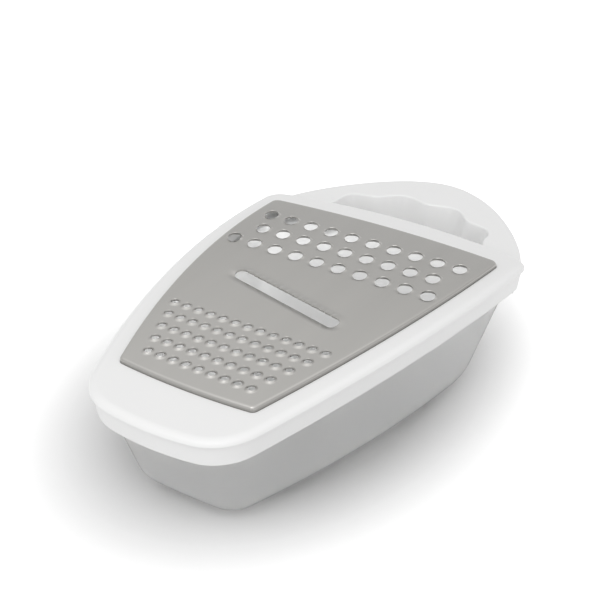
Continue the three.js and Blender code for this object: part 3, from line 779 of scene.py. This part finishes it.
class GRATER_OT_plate(bpy.types.Operator):
    """Model the stamped steel plate with its teeth and slicing slot"""

    bl_idname = "grater.plate"
    bl_label = "Steel plate"

    def execute(self, context):
        scene = context.scene
        layout = Layout(scene)
        lid, plate, slot = scene.grater_lid, scene.grater_plate, scene.grater_slot
        coarse, fine = scene.grater_coarse, scene.grater_fine
        rim = loft("plate rim", plate_rim_rings(layout, lid, plate))
        pieces = [rim, loft("slot", slot_rings(layout, slot))]
        first_y = layout.plate_back_y - coarse.first_row
        pieces += self.field(layout, coarse, COARSE_SIDES, first_y, -coarse.row, slot.to_teeth, 0)
        first_y = layout.plate_front_y + fine.first_row
        pieces += self.field(layout, fine, FINE_SIDES, first_y, fine.row, slot.to_teeth, 1)
        piece = join(pieces, "steel_plate")
        self.fill_sheet(piece, layout)
        self.arch_sheet(piece, layout)
        apply_modifier(
            piece, "SOLIDIFY", thickness=plate.thickness, offset=-1.0, vertex_group=THIN_EDGE,
            invert_vertex_group=True, thickness_vertex_group=THIN_SHARE,
        )
        hand_over(piece, SHARP_SHEET, "grating_plate", "lid", brushed_steel(plate.steel))
        return {"FINISHED"}

    def field(self, layout, teeth, sides, first_y, step, room, odd):
        """All teeth of one kind, modelled once and copied along rows from an end towards the slot."""
        model = loft("tooth", tooth_rings(teeth, sides), thin_edge=True)
        clear = room + teeth.hole / 2 + teeth.skirt
        places = []
        for row, y in enumerate(row_levels(layout, first_y, step, clear)):
            places += row_places(layout, y, teeth.pitch, teeth.margin, (row + odd) % 2)
        return copies(model, places, layout.crown_z)

    def fill_sheet(self, piece, layout):
        """Fill the flat sheet between the rim and the outer rings of the teeth."""
        select_open_edges(piece)
        mesh = bmesh.from_edit_mesh(piece.data)
        for edge in mesh.edges:
            if edge.select and any(abs(v.co.z - layout.crown_z) > LEVEL for v in edge.verts):
                edge.select_set(False)
        mesh.select_flush_mode()
        bmesh.update_edit_mesh(piece.data)
        bpy.ops.mesh.fill(use_beauty=True)
        turn_outwards()

    def arch_sheet(self, piece, layout):
        """Cut the sheet across into strips and drop each, kept straight, onto the arch."""
        edit(piece)
        step = (layout.plate_back_y - layout.plate_front_y) / ARCH_STEPS
        cuts = [layout.plate_front_y + step * i for i in range(ARCH_STEPS + 1)]
        for y in cuts[1:-1]:
            bpy.ops.mesh.select_all(action="SELECT")
            bpy.ops.mesh.bisect(plane_co=(0.0, y, 0.0), plane_no=(0.0, 1.0, 0.0))
        merge_slivers()
        bpy.ops.object.mode_set(mode="OBJECT")
        for vertex in piece.data.vertices:
            strip = min(max(int((vertex.co.y - cuts[0]) / step), 0), ARCH_STEPS - 1)
            low, high = layout.arch_drop(cuts[strip]), layout.arch_drop(cuts[strip + 1])
            vertex.co.z -= low + (high - low) * (vertex.co.y - cuts[strip]) / step


# White lid

SHOULDER_STEPS = 8
GRIP_STEPS = 96
GRIP_EDGE_STEPS = 4


def lid_rings(layout, lid, plate):
    """Rings of the lid's border: deck, shoulder, lip, band, inside, land and seat."""
    edge = lid.edge_round

    def at_lid(inset, below):
        return layout.arched(outline(layout.lid_plan, inset), layout.deck_z - below)

    def at_plate(inset, above):
        return layout.arched(outline(layout.plate_plan, inset), layout.deck_z + above)

    land_top = plate.proud - plate.thickness - lid.clearance
    land_edge = plate.thickness + lid.clearance
    depth = layout.skirt_depth
    rings = []
    for across, drop in quarter_round(EDGE_STEPS):
        rings.append(at_plate(-plate.seat_gap - edge * drop / 2, -edge * across / 2))
    for across, drop in quarter_round(SHOULDER_STEPS):
        rings.append(at_lid(lid.shoulder_width * across, lid.shoulder_drop * drop))
    for across, drop in quarter_round(EDGE_STEPS):
        rings.append(at_lid(edge * drop, layout.lip_height - edge * across))
    rings.append(at_lid(lid.band_setback, layout.lip_height))
    for across, drop in quarter_round(EDGE_STEPS):
        rings.append(at_lid(layout.band_foot + edge * drop, depth - edge * across))
    rings += [
        at_lid(layout.skirt_inside, depth),
        at_lid(layout.skirt_inside - lid.band_draft, lid.deck_thickness),
        at_plate(plate.land_width, -lid.deck_thickness),
        at_plate(plate.land_width, land_top - edge),
        at_plate(plate.land_width - edge, land_top),
        at_plate(land_edge + edge, land_top),
        at_plate(land_edge, land_top - edge),
        at_plate(land_edge, -plate.seat_depth),
        at_plate(-plate.seat_gap, -plate.seat_depth),
    ]
    return rings


def bezier(a, b, c, d, share):
    """A place on a cubic curve."""
    rest = 1 - share
    return a * rest ** 3 + b * 3 * rest ** 2 * share + c * 3 * rest * share ** 2 + d * share ** 3


def grip_outside(layout, grip, share):
    """Outer edge of the grip, from the right root (0) round the tip to the left root (1)."""
    root = layout.grip_half_width
    root_y = layout.back_edge_y(root, layout.skirt_inside)
    corners = (
        Vector((root, root_y)),
        Vector((root - grip.taper, root_y + grip.flank)),
        Vector((grip.nose, layout.tip_y)),
        Vector((0.0, layout.tip_y)),
    )
    if share <= 0.5:
        return bezier(*corners, 2 * share)
    place = bezier(*corners, 2 - 2 * share)
    return Vector((-place.x, place.y))


def grip_inside(layout, grip, share):
    """Inner edge of the grip at the same share, with a hollow for each finger."""
    turn = math.pi / 2 - math.pi * share
    half_width = layout.grip_half_width - grip.side
    hollow_end = grip.fingers / 2 * grip.finger_angle
    wave = 0.0
    if abs(turn) < hollow_end:
        wave = grip.finger_hollow * math.sin(math.pi * turn / grip.finger_angle) ** 2
    centre_y = layout.tip_y - grip.from_tip - grip.depth
    return Vector(((half_width + wave) * math.sin(turn), centre_y + (grip.depth + wave) * math.cos(turn)))


def grip_rings(layout, grip):
    """Sections of the grip from root to root: a lipped wall, hollow below."""
    top = layout.grip_top_z
    bottom = top - grip.height
    under_lip = top - grip.lip
    sections = []
    rounded = quarter_round(GRIP_EDGE_STEPS)
    for i in range(GRIP_STEPS + 1):
        share = i / GRIP_STEPS
        inner = grip_inside(layout, grip, share)
        outer = grip_outside(layout, grip, share)
        across = outer - inner
        width = across.length
        corners = [(-grip.draft, bottom)]
        corners += [(grip.edge * drop, top - grip.edge * left) for left, drop in rounded]
        corners += [(width - grip.edge * left, top - grip.edge * drop) for left, drop in rounded]
        corners += [
            (width, under_lip), (width - grip.overhang, under_lip), (width - grip.overhang, bottom),
            (width - grip.overhang - grip.wall, bottom), (width - grip.overhang - grip.wall, under_lip),
            (grip.wall, under_lip), (grip.wall - grip.draft, bottom),
        ]
        section = []
        for s, z in corners:
            place = inner + across * (s / width)
            section.append(Vector((place.x, place.y, z)))
        sections.append(section)
    return sections


class GRATER_OT_lid(bpy.types.Operator):
    """Model the white lid with its finger grip"""

    bl_idname = "grater.lid"
    bl_label = "White lid"

    def execute(self, context):
        scene = context.scene
        layout = Layout(scene)
        lid, plate, grip = scene.grater_lid, scene.grater_plate, scene.grater_grip
        piece = loft("white_lid", lid_rings(layout, lid, plate))
        close_section(piece)
        handle = loft("grip", grip_rings(layout, grip))
        cap_ends(handle)
        root_inset = layout.skirt_inside - lid.skirt_wall / 2
        inside = outline(layout.lid_plan, root_inset)
        cutter = loft("inside of the skirt", [
            [Vector((x, y, z)) for x, y in inside] for z in (0.0, layout.crown_z)])
        cap_ends(cutter)
        cut_or_join(handle, cutter, "DIFFERENCE")
        cut_or_join(piece, handle, "UNION")
        hand_over(piece, SHARP_MOULDING, "top_frame", "lid", white_moulding(lid.white))
        return {"FINISHED"}


# Catch tray

FOOT_STEPS = 10
INNER_FOOT_STEPS = 8
RIM_STEPS = 2


def tray_rings(layout, lid, tray):
    """Rings of the tray from the middle of its foot up the outside, over the rim and down the inside."""
    wall_top = layout.rim_top_z - tray.rim_height
    edge = lid.edge_round

    def ring(inset, z):
        plan = between(layout.tray_foot_plan, layout.tray_top_plan, min(z / wall_top, 1.0))
        return layout.arched(outline(plan, inset), z, z / layout.rim_top_z)

    inner_round = tray.foot_round - tray.wall
    rings = [ring(tray.foot_round + edge, 0.0)]
    for across, rise in quarter_round(FOOT_STEPS):
        rings.append(ring(tray.foot_round * across, tray.foot_round * rise))
    rings.append(ring(0.0, wall_top))
    for across, rise in quarter_round(RIM_STEPS):
        rings.append(ring(-tray.rim_width + edge * across, wall_top + edge * rise))
    for across, rise in reversed(quarter_round(EDGE_STEPS)):
        rings.append(ring(-tray.rim_width + edge * (1 - rise), layout.rim_top_z - edge * (1 - across)))
    rings.append(ring(tray.wall - edge, layout.rim_top_z))
    rings.append(ring(tray.wall, layout.rim_top_z - edge))
    for across, rise in reversed(quarter_round(INNER_FOOT_STEPS)):
        rings.append(ring(tray.wall + inner_round * across, tray.floor + inner_round * rise))
    rings.append(ring(tray.wall + inner_round + edge, tray.floor))
    return rings


class GRATER_OT_tray(bpy.types.Operator):
    """Model the frosted catch tray"""

    bl_idname = "grater.tray"
    bl_label = "Catch tray"

    def execute(self, context):
        scene = context.scene
        layout = Layout(scene)
        piece = loft("frosted_tray", tray_rings(layout, scene.grater_lid, scene.grater_tray))
        cap_ends(piece)
        hand_over(piece, SHARP_MOULDING, "catch_tray", "tray", frosted_moulding(scene.grater_tray.frost))
        return {"FINISHED"}


# Stage

# What steel mirrors at each height of the sky, as a share of the peak
REFLECTED_SKY = ((0.0, 1.0), (0.14, 0.58), (0.3, 0.48), (0.5, 0.69), (0.67, 0.73), (0.8, 0.95), (1.0, 1.0))
REFLECTED_PEAK = 1.5
# The floor lies this far under the tray's foot, so that light from inside the tray meets it
FLOOR_GAP = 0.0001
# Where the painted glow under the tray ends and the glow round it starts, in half widths of the painted
# shade round the tray
UNDER_TRAY = 0.7
ROUND_TRAY = 1.4
SENSOR_WIDTH = 36.0
NEAREST_SEEN = 0.01


def direction(azimuth, elevation):
    """From the part towards a place round it."""
    level = math.cos(elevation)
    return Vector((math.sin(azimuth) * level, -math.cos(azimuth) * level, math.sin(elevation)))


def grey(level):
    """A neutral colour."""
    return (level, level, level, 1.0)


def add_math(tree, operation, *inputs):
    """What an operation makes of its inputs."""
    return add_node(tree, "ShaderNodeMath", dict(enumerate(inputs)), operation=operation).outputs["Value"]


def stand(scene, data, place, away):
    """Stand a lamp or a camera at a place, facing back from where it is turned away to."""
    thing = bpy.data.objects.new(data.name, data)
    thing.location = place
    thing.rotation_euler = away.to_track_quat("Z", "Y").to_euler()
    scene.collection.objects.link(thing)
    return thing


class GRATER_OT_stage(bpy.types.Operator):
    """Set up the floor, the light and the camera"""

    bl_idname = "grater.stage"
    bl_label = "Stage"

    def execute(self, context):
        scene = context.scene
        stage = scene.grater_stage
        self.floor(stage)
        self.sky(scene, stage)
        self.lamp(scene, stage)
        self.camera(scene, stage)
        scene.view_settings.view_transform = "Standard"
        return {"FINISHED"}

    def floor(self, stage):
        """A pale floor with its real shadows, a painted shade round the tray, and a painted glow beyond it
        and under it.
        """
        deselect()
        bpy.ops.mesh.primitive_plane_add(size=stage.floor_size, location=(0.0, 0.0, -FLOOR_GAP))
        floor = bpy.context.object
        floor.name = "floor"
        material = bpy.data.materials.new("Pale floor")
        material.use_nodes = True
        tree = material.node_tree
        tree.nodes.clear()
        rays = tree.nodes.new("ShaderNodeLightPath").outputs
        where = tree.nodes.new("ShaderNodeTexCoord").outputs["Object"]
        # Painted shade: an ellipse round the tray inside which the white glow is held back
        shade = add_node(tree, "ShaderNodeMapping", {
            "Vector": where, "Location": stage.painted_shade_middle,
            "Scale": (stage.painted_shade_width, stage.painted_shade_length, 1.0),
        }, vector_type="TEXTURE")
        far = add_node(tree, "ShaderNodeVectorMath", {0: shade.outputs["Vector"]}, operation="LENGTH")
        outward = far.outputs["Value"]
        # Painted light: for camera and mirror rays the floor glows white, more the further it lies from the
        # tray
        whiter = add_node(tree, "ShaderNodeMapRange", {
            "Value": outward, "From Min": stage.white_from, "From Max": stage.white_to,
        })
        # Painted glow: for rays through the tray the floor glows, brightest under it, lightening the tray
        # and its inside seen through the holes
        through = add_node(tree, "ShaderNodeMapRange", {
            "Value": outward, "From Min": UNDER_TRAY, "From Max": ROUND_TRAY,
            "To Min": stage.glow_under_tray, "To Max": stage.glow_through_tray,
        })
        seen = add_math(tree, "MAXIMUM", rays["Is Camera Ray"], rays["Is Glossy Ray"])
        seen_white = add_math(tree, "MULTIPLY", seen, whiter.outputs["Result"])
        strength = add_math(
            tree, "MULTIPLY_ADD", rays["Is Transmission Ray"], through.outputs["Result"], seen_white,
        )
        diffuse = add_node(tree, "ShaderNodeBsdfDiffuse", {"Color": grey(stage.floor_grey)})
        lift = add_node(tree, "ShaderNodeEmission", {"Strength": strength})
        both = add_node(tree, "ShaderNodeAddShader", {
            0: diffuse.outputs["BSDF"], 1: lift.outputs["Emission"],
        })
        add_node(tree, "ShaderNodeOutputMaterial", {"Surface": both.outputs["Shader"]})
        floor.data.materials.append(material)

    def sky(self, scene, stage):
        """Light from all round, more from one side, white where it is seen and graded in reflections."""
        world = bpy.data.worlds.new("Studio")
        world.use_nodes = True
        scene.world = world
        tree = world.node_tree
        rays = tree.nodes.new("ShaderNodeLightPath").outputs
        outward = tree.nodes.new("ShaderNodeTexCoord").outputs["Generated"]
        height = add_node(tree, "ShaderNodeSeparateXYZ", {"Vector": outward}).outputs["Z"]
        ramp = add_node(tree, "ShaderNodeValToRGB", {"Fac": height})
        stops = ramp.color_ramp.elements
        for place, level in REFLECTED_SKY[1:-1]:
            stops.new(place).color = grey(level)
        for end in (0, -1):
            stops[end].color = grey(REFLECTED_SKY[end][1])
        reflected = add_math(tree, "MULTIPLY", ramp.outputs["Color"], REFLECTED_PEAK)
        facing = add_node(tree, "ShaderNodeVectorMath", {
            0: outward, 1: direction(stage.sky_turn, 0.0),
        }, operation="DOT_PRODUCT")
        lowness = add_math(tree, "SUBTRACT", 1.0, height)
        low_side = add_math(tree, "MULTIPLY", facing.outputs["Value"], lowness)
        ambient = add_math(tree, "MULTIPLY_ADD", low_side, stage.sky * stage.sky_lean, stage.sky)
        seen = add_math(tree, "MAXIMUM", rays["Is Camera Ray"], rays["Is Transmission Ray"])
        direct = add_node(tree, "ShaderNodeMix", {"Factor": seen, "A": ambient, "B": 1.0})
        strength = add_node(tree, "ShaderNodeMix", {
            "Factor": rays["Is Glossy Ray"], "A": direct.outputs["Result"], "B": reflected,
        })
        background = tree.nodes["Background"]
        background.inputs["Color"].default_value = grey(1.0)
        tree.links.new(strength.outputs["Result"], background.inputs["Strength"])

    def lamp(self, scene, stage):
        """A wide soft lamp that is turned to the part."""
        light = bpy.data.lights.new("soft lamp", "AREA")
        light.size = stage.lamp_size
        light.energy = stage.lamp
        away = direction(stage.lamp_azimuth, stage.lamp_elevation)
        stand(scene, light, away * stage.lamp_distance, away)

    def camera(self, scene, stage):
        """The camera at its angle round the part, looking at its target."""
        data = bpy.data.cameras.new("camera")
        data.lens = stage.lens
        data.sensor_width = SENSOR_WIDTH
        data.clip_start = NEAREST_SEEN
        away = direction(stage.azimuth, stage.elevation)
        scene.camera = stand(scene, data, Vector(stage.target) + away * stage.distance, away)


class GRATER_PT_panel(bpy.types.Panel):
    """Buttons for the pieces and the stage"""

    bl_idname = "GRATER_PT_panel"
    bl_label = "Grater"
    bl_space_type = "VIEW_3D"
    bl_region_type = "UI"
    bl_category = "Grater"

    def draw(self, context):
        for operator in OPERATORS:
            self.layout.operator(operator.bl_idname)
        for name in SETTINGS:
            settings = getattr(context.scene, name)
            box = self.layout.box()
            for prop in settings.__annotations__:
                box.prop(settings, prop)


SETTINGS = {
    "grater_lid": GraterLidSettings,
    "grater_grip": GraterGripSettings,
    "grater_plate": GraterPlateSettings,
    "grater_coarse": GraterCoarseSettings,
    "grater_fine": GraterFineSettings,
    "grater_slot": GraterSlotSettings,
    "grater_tray": GraterTraySettings,
    "grater_stage": GraterStageSettings,
}
OPERATORS = (GRATER_OT_stage, GRATER_OT_tray, GRATER_OT_lid, GRATER_OT_plate)
CLASSES = (*SETTINGS.values(), *OPERATORS, GRATER_PT_panel)


def register():
    for kind in CLASSES:
        bpy.utils.register_class(kind)
    for name, group in SETTINGS.items():
        setattr(bpy.types.Scene, name, PointerProperty(type=group))


def unregister():
    for name in SETTINGS:
        delattr(bpy.types.Scene, name)
    for kind in reversed(CLASSES):
        bpy.utils.unregister_class(kind)


def main():
    """Build every piece and the stage."""
    register()
    bpy.ops.grater.stage()
    bpy.ops.grater.tray()
    bpy.ops.grater.lid()
    bpy.ops.grater.plate()


if __name__ == "__main__":
    main()
